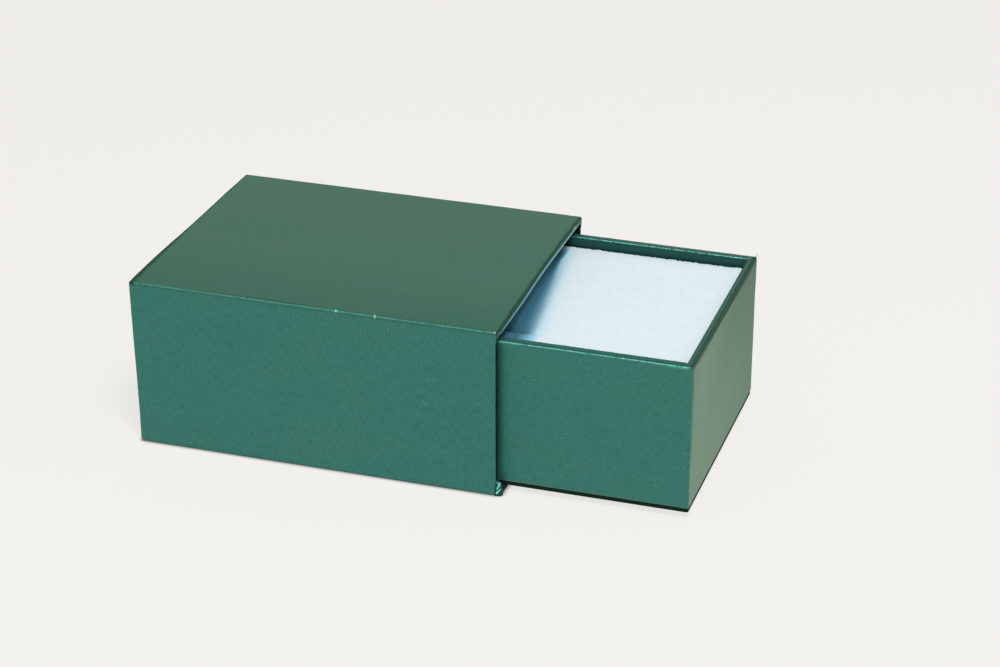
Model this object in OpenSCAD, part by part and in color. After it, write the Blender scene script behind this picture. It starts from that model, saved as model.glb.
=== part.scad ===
// Slide-out jewellery gift box: a paper-wrapped greyboard tray in an open-ended sleeve.
// The tray holds a flocked foam pad on a folded card riser.
// +X is the way the tray is pulled, +Y is the back, +Z is up. Lengths are in millimetres.
// The origin is the centre of the sleeve's underside.

/* [Sleeve] */
// Outside length of the sleeve, along the slide
sleeve_length = 85; // [70:1:110]
// Outside width of the sleeve
sleeve_width = 66; // [54:1:80]
// Outside height of the sleeve
sleeve_height = 40; // [38:1:55]
// Thickness of the sleeve's greyboard
sleeve_board = 1.2; // [1:0.1:1.6]
// Depth of the wrap turned in at each open end
sleeve_turn_in = 14; // [8:1:20]
// Width of the wrap's two bottom flanges, beside the closing strip
closing_margin = 3; // [2:0.5:6]

/* [Tray] */
// Distance that the tray stands out of the closed position
pulled_out = 43.5; // [0:0.5:60]
// Length by which the tray is shorter than the sleeve
tray_shortfall = 1; // [0:0.5:3]
// Gap between the tray and the sleeve's wall on each side
side_gap = 1.4; // [0.5:0.1:2]
// Gap between the tray's rim and the sleeve's roof
top_gap = 1.7; // [0.5:0.1:2.5]
// Running gap under the tray
floor_gap = 0.1; // [0.1:0.05:0.3]
// Thickness of the tray's greyboard
tray_board = 1.5; // [1:0.1:2]
// Depth of the wrap turned in over the tray's rim
rim_turn_in = 18; // [10:1:24]
// Width of the wrap turned in under the tray
base_turn_in = 10; // [6:1:14]
// Thickness of the card glued under the tray
base_card = 0.7; // [0.4:0.1:0.8]
// Set-back of that card from the tray's sides
base_card_inset = 0.1; // [0.1:0.1:1]

/* [Paper] */
// Thickness of the wrapping paper and of the lining
paper = 0.15; // [0.1:0.01:0.2]
// Thickness of the kraft tape that joins the boards
tape = 0.1; // [0.08:0.01:0.12]
// Reach of the kraft tape on each side of a corner
tape_leg = 9; // [6:1:12]
// Outside radius of the wrapped corners
edge_radius = 0.6; // [0.3:0.05:0.8]

/* [Pad] */
// Depth of the pad's face below the tray's rim
pad_recess = 2.2; // [1:0.1:4]
// Thickness of the foam block with its cover
pad_height = 16.6; // [12:0.2:18]
// Thickness of the flocked cover on top
cover_top = 0.6; // [0.4:0.1:1]
// Thickness of the flocked cover on the sides
cover_side = 0.4; // [0.3:0.1:0.6]
// Depth to which the cover is folded down the foam's sides
cover_skirt = 10; // [6:1:11]
// Gap between the pad and the tray's walls
pad_gap = 0.2; // [0.1:0.05:0.5]
// Thickness of the riser's card
riser_card = 0.6; // [0.4:0.1:0.8]

/* [Dent for the jewel] */
// Distance from the tray's front wall to the slit that the dent falls away behind
slit_from_wall = 7.3; // [6:0.1:12]
// Depth of the dent at the slit
dent_depth = 4; // [2:0.5:5]
// Half-width of the dent at the slit
dent_half_width = 6.5; // [4:0.5:8]
// Length over which the dent runs out
dent_length = 46; // [20:1:47]
// Distance of the dent's axis from the tray's middle, towards the sleeve
dent_offset = 2.5; // [0:0.5:5]

/* [Hidden] */
$fn = 48;

// Amount by which a cutting shape runs past the faces that it cuts
over = 1;

sleeve_wall = sleeve_board + 2 * paper;
tray_wall = tray_board + 2 * paper;

tray_length = sleeve_length - tray_shortfall;
tray_width = sleeve_width - 2 * (sleeve_wall + side_gap);
tray_bottom = sleeve_wall + floor_gap;
tray_top = sleeve_height - sleeve_wall - top_gap;
wrap_bottom = tray_bottom + base_card;
board_bottom = wrap_bottom + paper;
floor_top = board_bottom + tray_board;

pad_top = tray_top - pad_recess;
pad_bottom = pad_top - pad_height;
foam_top = pad_top - cover_top;

green = "#2f6f5f";
inside_green = "#1d4a40";
grey = "#9c978c";
kraft = "#b08d5f";
white_card = "#e9e6df";
foam_white = "#eef0ee";
pale_blue = "#dbe8f0";

// A rectangle centred on the origin, with its corners rounded
module rounded_rect(width, height, radius) {
  if (radius <= 0) {
    square([width, height], center = true);
  } else {
    square([width - 2 * radius, height], center = true);
    square([width, height - 2 * radius], center = true);
    for (x = [-1, 1], y = [-1, 1])
      translate([x * (width / 2 - radius), y * (height / 2 - radius)]) circle(r = radius);
  }
}

// The layer of a rectangular box's outline between two depths below its outside
module layer(width, height, from, to) {
  difference() {
    rounded_rect(width - 2 * from, height - 2 * from, edge_radius - from);
    rounded_rect(width - 2 * to, height - 2 * to, edge_radius - to);
  }
}

// The part of an outline that belongs to one side, cut off at its mitred corners.
// side is 0 for the right, 1 for the top, 2 for the left and 3 for the bottom.
module mitre(width, height, depth, side) {
  across = side % 2 == 0 ? width : height;
  along = side % 2 == 0 ? height : width;
  rotate(90 * side)
    polygon([
      [across / 2 - depth, along / 2 - depth],
      [across / 2 + over, along / 2 + over],
      [across / 2 + over, -along / 2 - over],
      [across / 2 - depth, -along / 2 + depth]
    ]);
}

// The square at one corner of an outline that a strip of tape covers
module tape_corner(width, height, corner) {
  x = corner == 1 || corner == 4 ? 1 : -1;
  y = corner <= 2 ? 1 : -1;
  reach = tape_leg + over;
  translate([x * (width / 2 - tape_leg + reach / 2), y * (height / 2 - tape_leg + reach / 2)])
    square(reach, center = true);
}

// One strip of tape across a corner of an outline, flush with the outside of the boards
module tape_outline(width, height, corner) {
  intersection() {
    layer(width, height, paper, paper + tape);
    tape_corner(width, height, corner);
  }
}

// One side's board, let in at both corners by the thickness of the tape
module board_outline(width, height, board, side) {
  difference() {
    intersection() {
      layer(width, height, paper, paper + board);
      mitre(width, height, paper + board, side);
    }
    for (corner = [1:4])
      tape_outline(width, height, corner);
  }
}

// A section of the sleeve, run along the slide between two places
module along_slide(from, to) {
  translate([from, 0, sleeve_height / 2])
    rotate([90, 0, 90])
      linear_extrude(to - from) children();
}

// A plan shape of the tray, raised between two heights
module in_tray(from, to) {
  translate([pulled_out, 0, from])
    linear_extrude(to - from) children();
}

module sleeve_layer(from, to) {
  layer(sleeve_width, sleeve_height, from, to);
}

module tray_layer(from, to) {
  layer(tray_length, tray_width, from, to);
}

module tray_plan(inset) {
  rounded_rect(tray_length - 2 * inset, tray_width - 2 * inset, edge_radius - inset);
}

module sleeve_panel(side) {
  end = sleeve_length / 2 - paper;
  color(grey)
    along_slide(-end, end)
      board_outline(sleeve_width, sleeve_height, sleeve_board, side);
}

module sleeve_back_board() {
  sleeve_panel(0);
}

module sleeve_top_board() {
  sleeve_panel(1);
}

module sleeve_front_board() {
  sleeve_panel(2);
}

module sleeve_bottom_board() {
  sleeve_panel(3);
}

module sleeve_edge_tape(corner) {
  end = sleeve_length / 2 - paper;
  color(kraft)
    along_slide(-end, end)
      tape_outline(sleeve_width, sleeve_height, corner);
}

// The flat part of the underside that the closing strip covers, and a stretch below it
module closing_outline(below) {
  width = sleeve_width - 2 * closing_margin;
  translate([-width / 2, -sleeve_height / 2 - below])
    square([width, paper + below]);
}

// The skin, the folds over the boards' end edges, and the paper turned in at both ends
module sleeve_wrap() {
  end = sleeve_length / 2;
  color(green)
    difference() {
      union() {
        along_slide(-end, end) sleeve_layer(0, paper);
        for (side = [-1, 1]) {
          fold = side * (end - paper / 2);
          along_slide(fold - paper / 2, fold + paper / 2) sleeve_layer(0, sleeve_wall);
          turned = side * (end - sleeve_turn_in / 2);
          along_slide(turned - sleeve_turn_in / 2, turned + sleeve_turn_in / 2)
            sleeve_layer(sleeve_wall - paper, sleeve_wall);
        }
      }
      along_slide(-end - over, end + over) closing_outline(over);
    }
}

module sleeve_closing_strip() {
  color(green)
    along_slide(-sleeve_length / 2, sleeve_length / 2) closing_outline(0);
}

// The lining meets the turned-in paper edge to edge
module sleeve_lining() {
  end = sleeve_length / 2 - sleeve_turn_in;
  color(inside_green)
    along_slide(-end, end) sleeve_layer(sleeve_wall - paper, sleeve_wall);
}

module tray_panel(side) {
  color(grey)
    in_tray(board_bottom, tray_top - paper)
      board_outline(tray_length, tray_width, tray_board, side);
}

module tray_pull_end_board() {
  tray_panel(0);
}

module tray_back_board() {
  tray_panel(1);
}

module tray_inner_end_board() {
  tray_panel(2);
}

module tray_front_board() {
  tray_panel(3);
}

module tray_floor_board() {
  color(grey)
    in_tray(board_bottom, floor_top) tray_plan(paper + tray_board);
}

module tray_corner_tape(corner) {
  color(kraft)
    in_tray(board_bottom, tray_top - paper)
      tape_outline(tray_length, tray_width, corner);
}

// The skin, the fold over the rim, and the paper turned in inside and underneath
module tray_wrap() {
  color(green)
    union() {
      in_tray(wrap_bottom, tray_top) tray_layer(0, paper);
      in_tray(tray_top - paper, tray_top) tray_layer(0, tray_wall);
      in_tray(tray_top - rim_turn_in, tray_top) tray_layer(tray_wall - paper, tray_wall);
      in_tray(wrap_bottom, board_bottom) tray_layer(0, base_turn_in);
    }
}

module tray_base_card() {
  color(inside_green)
    in_tray(tray_bottom, wrap_bottom) tray_plan(base_card_inset);
}

// Folded card: a flat top on two long legs that stand on the tray's floor
module pad_riser() {
  inset = tray_wall + pad_gap;
  length = tray_length - 2 * inset;
  width = tray_width - 2 * (inset + riser_card);
  color(white_card)
    difference() {
      in_tray(floor_top, pad_bottom) tray_plan(inset);
      in_tray(floor_top - over, pad_bottom - riser_card)
        square([length + 2 * over, width], center = true);
    }
}

// The dent: part of a cone that lies along +Y with its axis above the pad's face.
// grow thickens it by the cover, so that the foam is cut back by that much more.
module dent(grow) {
  rise = (dent_half_width * dent_half_width - dent_depth * dent_depth) / (2 * dent_depth);
  radius = dent_depth + rise;
  run = dent_length * radius / dent_depth;
  front = -tray_width / 2 + tray_wall + slit_from_wall;
  translate([pulled_out - dent_offset, front - grow, pad_top + rise])
    rotate([-90, 0, 0])
      cylinder(h = run + grow, r1 = radius + grow, r2 = grow);
}

module foam_shape() {
  difference() {
    in_tray(pad_bottom, foam_top) tray_plan(tray_wall + pad_gap + cover_side);
    dent(cover_top);
  }
}

module pad_foam() {
  color(foam_white) foam_shape();
}

// Flocked sheet over the foam, folded down its sides and pressed into the dent
module pad_cover() {
  color(pale_blue)
    difference() {
      in_tray(pad_top - cover_skirt, pad_top) tray_plan(tray_wall + pad_gap);
      dent(0);
      foam_shape();
    }
}

sleeve_top_board();
sleeve_bottom_board();
sleeve_front_board();
sleeve_back_board();
for (corner = [1:4])
  sleeve_edge_tape(corner);
sleeve_wrap();
sleeve_closing_strip();
sleeve_lining();
tray_floor_board();
tray_front_board();
tray_back_board();
tray_pull_end_board();
tray_inner_end_board();
for (corner = [1:4])
  tray_corner_tape(corner);
tray_wrap();
tray_base_card();
pad_riser();
pad_foam();
pad_cover();
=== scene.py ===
"""Slide-out gift box: a wrapped sleeve, a wrapped tray and its flocked pad, on a pale floor.

Shapes are worked out in millimetres in the shared frame and written to Blender in metres.
"""
import math

import bpy
import numpy as np
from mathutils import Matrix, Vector


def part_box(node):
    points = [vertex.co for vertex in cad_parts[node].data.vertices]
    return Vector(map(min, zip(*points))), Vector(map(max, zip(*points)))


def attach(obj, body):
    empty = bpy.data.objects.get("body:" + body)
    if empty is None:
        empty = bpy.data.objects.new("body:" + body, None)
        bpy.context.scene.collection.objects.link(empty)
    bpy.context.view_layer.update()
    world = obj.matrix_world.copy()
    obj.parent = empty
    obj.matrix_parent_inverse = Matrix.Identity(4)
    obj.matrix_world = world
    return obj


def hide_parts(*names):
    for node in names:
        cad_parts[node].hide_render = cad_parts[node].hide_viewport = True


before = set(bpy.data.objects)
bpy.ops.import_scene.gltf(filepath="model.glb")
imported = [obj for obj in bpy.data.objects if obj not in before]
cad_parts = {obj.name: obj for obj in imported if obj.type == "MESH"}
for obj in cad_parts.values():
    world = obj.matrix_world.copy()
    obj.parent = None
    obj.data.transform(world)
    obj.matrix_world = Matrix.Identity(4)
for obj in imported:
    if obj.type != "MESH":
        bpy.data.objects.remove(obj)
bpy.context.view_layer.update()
scene = bpy.context.scene

MM = 0.001


# ---------------------------------------------------------------- sizes read from the frame

def box_mm(node):
    """Lowest and highest corners of a CAD node, in millimetres."""
    low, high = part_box(node)
    return np.array(low) / MM, np.array(high) / MM


SLEEVE_LOW, SLEEVE_HIGH = box_mm("sleeve_wrap")
SLEEVE_END = SLEEVE_HIGH[0]
SLEEVE_HALF = np.array([SLEEVE_HIGH[1], (SLEEVE_HIGH[2] - SLEEVE_LOW[2]) / 2])
SLEEVE_MID_Z = (SLEEVE_HIGH[2] + SLEEVE_LOW[2]) / 2
STRIP_LOW, STRIP_HIGH = box_mm("sleeve_closing_strip")
LINING_LOW, LINING_HIGH = box_mm("sleeve_lining")
PAPER = STRIP_HIGH[2] - STRIP_LOW[2]
SLEEVE_WALL = LINING_LOW[2] - SLEEVE_LOW[2] + PAPER
SLEEVE_BOARD = SLEEVE_WALL - 2 * PAPER

TRAY_LOW, TRAY_HIGH = box_mm("tray_wrap")
TRAY_MID = (TRAY_LOW + TRAY_HIGH) / 2
TRAY_HALF = np.array([TRAY_HIGH[1], (TRAY_HIGH[0] - TRAY_LOW[0]) / 2])
FLOOR_BOARD_LOW, _ = box_mm("tray_floor_board")
TRAY_WALL = FLOOR_BOARD_LOW[0] - TRAY_LOW[0] + PAPER
COVER_LOW, COVER_HIGH = box_mm("pad_cover")

# radius of the wrapped corners, and the least radius of the paper inside them
CORNER_RADIUS = 0.42
LEAST_RADIUS = 0.04
# reach and thickness of the kraft tape
TAPE_LEG = 9.0
TAPE = 0.1
# points round a corner and along a fold, and how far beside them the paper is creased
PER_CORNER = 8
PER_FOLD = 6
CREASE_REACH = 0.16


# ---------------------------------------------------------------- small numeric helpers

def smooth(value, start, end):
    """0 before start and 1 after end, turning smoothly between them."""
    t = np.clip((value - start) / (end - start), 0, 1)
    return t * t * (3 - 2 * t)


class Ripples:
    """Repeatable smooth unevenness, with a spread of about 1, at about one wavelength."""

    def __init__(self, seed, wavelength, waves=16):
        rng = np.random.default_rng(seed)
        way = rng.normal(size=(waves, 3))
        way /= np.linalg.norm(way, axis=1)[:, None]
        pitch = wavelength * rng.uniform(0.7, 1.6, waves)
        self.wave = 2 * np.pi * way / pitch[:, None]
        self.phase = rng.uniform(0, 2 * np.pi, waves)
        self.level = (2 / waves) ** 0.5

    def __call__(self, points):
        flat = points.reshape(-1, 3)
        height = np.cos(flat @ self.wave.T + self.phase).sum(1) * self.level
        return height.reshape(points.shape[:-1])


# ---------------------------------------------------------------- meshes

def make_object(name, points, faces, body, uv=None, attributes=None, smooth_angle=38, shaded=None):
    """A mesh piece from points in millimetres, riding on a body. shaded is each face's material."""
    mesh = bpy.data.meshes.new(name)
    mesh.from_pydata((np.asarray(points) * MM).tolist(), [], [list(f) for f in faces])
    mesh.update()
    if uv is not None:
        layer = mesh.uv_layers.new(name="paper")
        layer.data.foreach_set("uv", np.asarray(uv, np.float32).ravel())
    for key, values in (attributes or {}).items():
        attribute = mesh.attributes.new(key, "FLOAT", "POINT")
        attribute.data.foreach_set("value", np.asarray(values, np.float32))
    mesh.polygons.foreach_set("use_smooth", [True] * len(mesh.polygons))
    mesh.set_sharp_from_angle(angle=math.radians(smooth_angle))
    if shaded is not None:
        for _ in range(max(shaded) + 1):
            mesh.materials.append(None)
        mesh.polygons.foreach_set("material_index", np.asarray(shaded, np.int32))
    mesh.validate()
    obj = bpy.data.objects.new(name, mesh)
    scene.collection.objects.link(obj)
    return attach(obj, body)


def stretches(half, radius):
    """Starts and ends of the nine stretches round a rounded rectangle, from its low side's middle."""
    a, b = half - radius
    arc = math.pi * radius / 2
    ends = np.cumsum([a, arc, 2 * b, arc, 2 * a, arc, 2 * b, arc, a])
    return np.concatenate([[0], ends[:-1]]), ends


def on_outline(s, half, radius, inset):
    """Points at distances s round a rounded rectangle, moved in by inset, and the ways out."""
    starts, ends = stretches(half, radius)
    inner_radius = max(radius - inset, LEAST_RADIUS)
    a, b = half - inset - inner_radius
    corners = [(a, -b), (a, b), (-a, b), (-a, -b)]
    points = np.zeros((len(s), 2))
    out = np.zeros((len(s), 2))
    for k in range(9):
        here = (s >= starts[k] - 1e-9) & (s <= ends[k] + 1e-9)
        t = ((s[here] - starts[k]) / (ends[k] - starts[k]))[:, None]
        if k % 2:
            turn = math.pi / 2 * (t + k // 2 - 1)
            way = np.hstack([np.cos(turn), np.sin(turn)])
            centre = np.array(corners[k // 2])
            points[here] = centre + inner_radius * way
            out[here] = way
            continue
        angle = math.pi / 2 * (k // 2 - 1)
        way = np.array([math.cos(angle), math.sin(angle)])
        first = np.array(corners[k // 2 - 1]) if k else np.array([0.0, -b])
        last = np.array(corners[k // 2]) if k < 8 else np.array([0.0, -b])
        points[here] = first + t * (last - first) + inner_radius * way
        out[here] = way
    return points, out


def stations(half, radius, first, last, step):
    """Distances round an outline between two places: even on the sides, close at the corners."""
    starts, ends = stretches(half, radius)
    near = np.array([0.25, 0.6, 1.1])
    found = [first, last]
    for k in range(9):
        if k % 2:
            found += list(np.linspace(starts[k], ends[k], PER_CORNER + 1))
            found += list(starts[k] - near) + list(ends[k] + near)
        else:
            count = max(2, round((ends[k] - starts[k]) / step))
            found += list(np.linspace(starts[k], ends[k], count + 1))
    found = np.unique(np.round([s for s in found if first <= s <= last], 4))
    keep = np.concatenate([[True], np.diff(found) > 0.02])
    return found[keep]


def corner_nearness(s, half, radius):
    """1 on the rounded corners of an outline, falling to 0 along its sides."""
    starts, ends = stretches(half, radius)
    away = np.full(len(s), 1e9)
    for k in range(1, 9, 2):
        away = np.minimum(away, np.maximum(np.maximum(starts[k] - s, s - ends[k]), 0))
    return np.exp(-((away / CREASE_REACH) ** 2))


def folded(corners, radii, step):
    """A line of straight stretches with rounded folds between them.

    Gives its points, the way across it at each, its nearness to a fold, and the distance run.
    """
    corners = [np.array(c, float) for c in corners]
    near = np.array([0.15, 0.35, 0.7, 1.3])
    points, across, fold = [], [], []
    begin = corners[0]
    for k in range(1, len(corners)):
        way = (corners[k] - corners[k - 1]) / np.linalg.norm(corners[k] - corners[k - 1])
        side = np.array([way[1], -way[0]])
        last = k == len(corners) - 1
        stop = corners[k] if last else corners[k] - way * radii[k - 1]
        length = np.linalg.norm(stop - begin)
        marks = np.concatenate([
            np.linspace(0, length, max(2, round(length / step)) + 1), near, length - near])
        marks = np.unique(np.round(marks[(marks >= 0) & (marks <= length)], 4))
        marks = marks[np.concatenate([[True], np.diff(marks) > 0.06])]
        for m in marks:
            to_fold = min(m if k > 1 else 1e9, length - m if not last else 1e9)
            points.append(begin + way * m)
            across.append(side)
            fold.append(math.exp(-((to_fold / CREASE_REACH) ** 2)))
        if last:
            break
        following = (corners[k + 1] - corners[k]) / np.linalg.norm(corners[k + 1] - corners[k])
        centre = stop - side * radii[k - 1]
        for n in range(1, PER_FOLD):
            turn = math.pi / 2 * n / PER_FOLD
            direction = side * math.cos(turn) + way * math.sin(turn)
            points.append(centre + direction * radii[k - 1])
            across.append(direction)
            fold.append(1.0)
        begin = corners[k] + following * radii[k - 1]
    points, across = np.array(points), np.array(across)
    run = np.concatenate([[0], np.cumsum(np.linalg.norm(np.diff(points, axis=0), axis=1))])
    return points, across, np.array(fold), run


def shell(name, body, half, radius, s, closed, line, to_frame, move, shade, in_shade=None):
    """A sheet of paper folded round a box: a line of folds carried round an outline.

    The seen face and the glued face have the same points, joined at the paper's cut edges.
    to_frame turns places along the line and on the outline into the frame. move gives the
    displacement, shade how dark the paper is, and in_shade the number of each face's material.
    """
    points, across, fold, run = line
    seen, glued, out3 = [], [], []
    corner = corner_nearness(s, half, radius)
    for (along, inset), (na, ni) in zip(points, across):
        ring, out = on_outline(s, half, radius, inset)
        under, _ = on_outline(s, half, radius, inset - PAPER * ni)
        count = len(s)
        seen.append(to_frame(np.full(count, along), ring))
        glued.append(to_frame(np.full(count, along - PAPER * na), under))
        way = to_frame(np.full(count, na), -ni * out) - to_frame(np.zeros(count), 0 * out)
        out3.append(way)
    seen, glued, out3 = (np.stack(v, axis=1) for v in (seen, glued, out3))
    edge = np.maximum(fold[None, :] * np.ones((len(s), 1)), corner[:, None])
    inset = np.broadcast_to(points[None, :, 1], edge.shape)
    shift = move(seen, out3, edge, inset)
    seen = seen + shift
    glued = glued + shift

    rows, cols = edge.shape
    number = np.arange(rows * cols).reshape(rows, cols)
    back = number + rows * cols
    faces, uv = [], []

    def cut_edge(quad, spots, flip):
        faces.append(quad[::-1] if flip else quad)
        uv.extend(spots[::-1] if flip else spots)

    last_row = rows if closed else rows - 1
    for i in range(last_row):
        j = (i + 1) % rows
        s0 = s[i]
        s1 = s[j] if j else stretches(half, radius)[1][-1]
        for c in range(cols - 1):
            faces.append((number[i, c], number[j, c], number[j, c + 1], number[i, c + 1]))
            faces.append((back[i, c], back[i, c + 1], back[j, c + 1], back[j, c]))
            u0, u1 = run[c], run[c + 1]
            uv += [(u0, s0), (u0, s1), (u1, s1), (u1, s0)]
            uv += [(u0, s0), (u1, s0), (u1, s1), (u0, s1)]
        for c in (0, cols - 1):
            quad = [number[i, c], back[i, c], back[j, c], number[j, c]]
            cut_edge(quad, [(run[c], s0), (run[c], s0), (run[c], s1), (run[c], s1)], c > 0)
    if not closed:
        for i in (0, rows - 1):
            for c in range(cols - 1):
                quad = [number[i, c], back[i, c], back[i, c + 1], number[i, c + 1]]
                spots = [(run[c], s[i]), (run[c], s[i]), (run[c + 1], s[i]), (run[c + 1], s[i])]
                cut_edge(quad, spots, i == 0)
    verts = np.concatenate([seen.reshape(-1, 3), glued.reshape(-1, 3)])
    # inside is the painted shade that shade() gives, darkening the paper's colour
    attributes = {"edge": edge, "inside": shade(inset), "inset": inset}
    shaded = None
    if in_shade is not None:
        middle = np.array([verts[list(f)].mean(axis=0) for f in faces])
        insets = np.tile(inset.ravel(), 2)
        shaded = in_shade(middle, np.array([insets[list(f)].mean() for f in faces]))
    attributes = {key: np.tile(values.ravel(), 2) for key, values in attributes.items()}
    return make_object(name, verts, faces, body, uv, attributes, shaded=shaded)


# ---------------------------------------------------------------- sleeve

ROOF_ARCH = 0.4
LEFT_LEAN = 0.9
WALL_FLARE = 0.3
LOWER_LIP = 1.25
# how far the roof's end stands out, and how much more toward the front
END_PUFF = (0.2, 0.4)
FRONT = SLEEVE_HALF[0]
TOP = SLEEVE_HIGH[2]
# where the shifts at the open end set in, and where they are full
OPEN_END = (SLEEVE_END - 1.5, SLEEVE_END - 0.2)
FOLD_RADII = (0.32, 0.38, 0.38, 0.32)
PAPER_STEP = 0.9
LINING_STEP = 1.5
# gaps beside the closing strip and at the lining's ends
SEAM_GAP = 0.06
LINING_GAP = 0.05
edge_crinkle = Ripples(11, 1.6)
fine_crinkle = Ripples(12, 0.7)
panel_wave = Ripples(13, 26)
small_wave = Ripples(14, 7)


def sleeve_frame(along, ring):
    return np.stack([along, ring[:, 0], ring[:, 1] + SLEEVE_MID_Z], axis=1)


def roof_lift(points):
    """Upward bow of the sleeve's roof, most at its open ends."""
    x, y, z = np.moveaxis(points, -1, 0)
    across = np.clip(1 - np.abs(y / FRONT) ** 3, 0, 1)
    along = 0.6 + 0.4 * smooth(np.abs(x), 8, SLEEVE_END)
    return ROOF_ARCH * across * along * smooth(z, TOP - 10, TOP - 2)


def end_puff(points):
    """How far the roof's end stands out at the open end, more toward its front corner."""
    x, y, z = np.moveaxis(points, -1, 0)
    puff = END_PUFF[0] + END_PUFF[1] * smooth(-y, -6, 18)
    at_corner = 1 - 0.6 * smooth(-y, FRONT - 3, FRONT)
    return puff * at_corner * smooth(x, *OPEN_END) * smooth(z, TOP - 3.1, TOP - 1.7)


def sleeve_move(points, out, edge, inset):
    """The sleeve's skin: a bowed roof, a leaning left end, a floor that stands out at the open
    end, and slightly uneven faces and folds."""
    x, y, z = np.moveaxis(points, -1, 0)
    shift = np.zeros_like(points)
    shift[..., 2] += roof_lift(points)
    shift[..., 0] += end_puff(points)
    lean = (0.35 + 0.65 * smooth(z, 4, TOP)) * smooth(-y, -10, FRONT)
    shift[..., 0] -= LEFT_LEAN * lean * smooth(-x, SLEEVE_END - 4.5, SLEEVE_END)
    on_side = smooth(np.abs(y), FRONT - 2.1, FRONT - 1.7) * smooth(z, 2.5, 5) * smooth(TOP - z, 2, 5)
    shift[..., 0] += WALL_FLARE * on_side * smooth(inset, 0.2, 1.3) * smooth(x, *OPEN_END)
    under = smooth(SLEEVE_WALL - z, -0.25, -0.05) * smooth(FRONT - np.abs(y), 0.4, 1.6)
    shift[..., 0] += LOWER_LIP * under * smooth(x, SLEEVE_END - 6.5, SLEEVE_END)
    skin = 1 - smooth(inset, 0.2, 1.2)
    bulge = np.clip(0.05 + 0.035 * panel_wave(points), 0, 0.15) * smooth(z, 2, 10)
    crinkle = (0.008 * edge_crinkle(points) + 0.004 * fine_crinkle(points)) * edge
    ripple = 0.008 * small_wave(points)
    return shift + out * (skin * (bulge * (1 - edge) + ripple) + crinkle)[..., None]


def sleeve_shade(inset):
    """Painted shade: how dark the paper is painted where it is folded in at the ends and inside, where
    it lies in shade.
    """
    return 0.6 * smooth(inset, 0.12, 0.4) + 0.4 * smooth(inset, 1.2, 1.5)


def sleeve_in_shade(middle, inset):
    """1 on the folded ends of the walls and all the paper inside, which get the dark painted-shade
    paper, and 2 on the roof's ends.
    """
    folded_in_shaded = inset > 0.3
    on_roof = middle[:, 2] > SLEEVE_HIGH[2] - SLEEVE_WALL - 0.2
    return np.where(folded_in_shaded, np.where(on_roof & (inset < SLEEVE_WALL - 0.03), 2, 1), 0)


def build_sleeve_papers():
    """The wrap and the strip that closes it, with their ends turned in, and the lining."""
    length = stretches(SLEEVE_HALF, CORNER_RADIUS)[1][-1]
    end = SLEEVE_END
    line = folded(
        [(LINING_LOW[0], SLEEVE_WALL), (-end, SLEEVE_WALL), (-end, 0), (end, 0),
         (end, SLEEVE_WALL), (LINING_HIGH[0], SLEEVE_WALL)],
        FOLD_RADII, PAPER_STEP)
    half_strip = STRIP_HIGH[1]
    first = half_strip + SEAM_GAP
    round_s = stations(SLEEVE_HALF, CORNER_RADIUS, first, length - first, PAPER_STEP)
    wrap = shell("sleeve_paper_wrap", "sleeve", SLEEVE_HALF, CORNER_RADIUS, round_s, False,
                 line, sleeve_frame, sleeve_move, sleeve_shade, sleeve_in_shade)
    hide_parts("sleeve_wrap")

    strip = strip_shell(line, np.linspace(-half_strip, half_strip, 60))
    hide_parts("sleeve_closing_strip")

    inner = folded([(LINING_HIGH[0] - LINING_GAP, SLEEVE_WALL),
                    (LINING_LOW[0] + LINING_GAP, SLEEVE_WALL)], [], LINING_STEP)
    ring = stations(SLEEVE_HALF, CORNER_RADIUS, 0, length - 0.5, LINING_STEP)
    lining = shell("sleeve_inner_lining", "sleeve", SLEEVE_HALF, CORNER_RADIUS, ring, True,
                   inner, sleeve_frame, sleeve_move, sleeve_shade)
    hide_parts("sleeve_lining")
    return wrap, strip, lining


def strip_shell(line, across_y):
    """The closing strip under the sleeve, with its ends turned in like the wrap's.

    It lies on the low side of an outline that is far wider than the strip, away from its corners.
    """
    wide, middle = 1e4, 1e3
    half = np.array([wide, SLEEVE_HALF[1]])

    def place(along, ring):
        return np.stack([along, ring[:, 0] - middle, ring[:, 1] + SLEEVE_MID_Z], axis=1)

    return shell("sleeve_underside_strip", "sleeve", half, CORNER_RADIUS, across_y + middle, False,
                 line, place, sleeve_move, sleeve_shade, sleeve_in_shade)


def bar(name, section, from_x, to_x, node):
    """A strip of board or tape along the sleeve, with its section bent as the roof is."""
    outline = []
    for start, stop in zip(section, section[1:] + section[:1]):
        start, stop = np.array(start), np.array(stop)
        count = max(1, int(np.linalg.norm(stop - start) / 2))
        outline += [start + (stop - start) * n / count for n in range(count)]
    outline = np.array(outline)
    places = np.linspace(from_x, to_x, 40)
    rings = [np.column_stack([np.full(len(outline), x), outline]) for x in places]
    points = np.stack(rings)
    points[..., 2] += roof_lift(points)
    rows, cols = points.shape[:2]
    number = np.arange(rows * cols).reshape(rows, cols)
    faces = [tuple(number[0][::-1]), tuple(number[-1])]
    for i in range(rows - 1):
        for c in range(cols):
            d = (c + 1) % cols
            faces.append((number[i, c], number[i, d], number[i + 1, d], number[i + 1, c]))
    obj = make_object(name, points.reshape(-1, 3), faces, "sleeve")
    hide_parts(node)
    return obj


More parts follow.
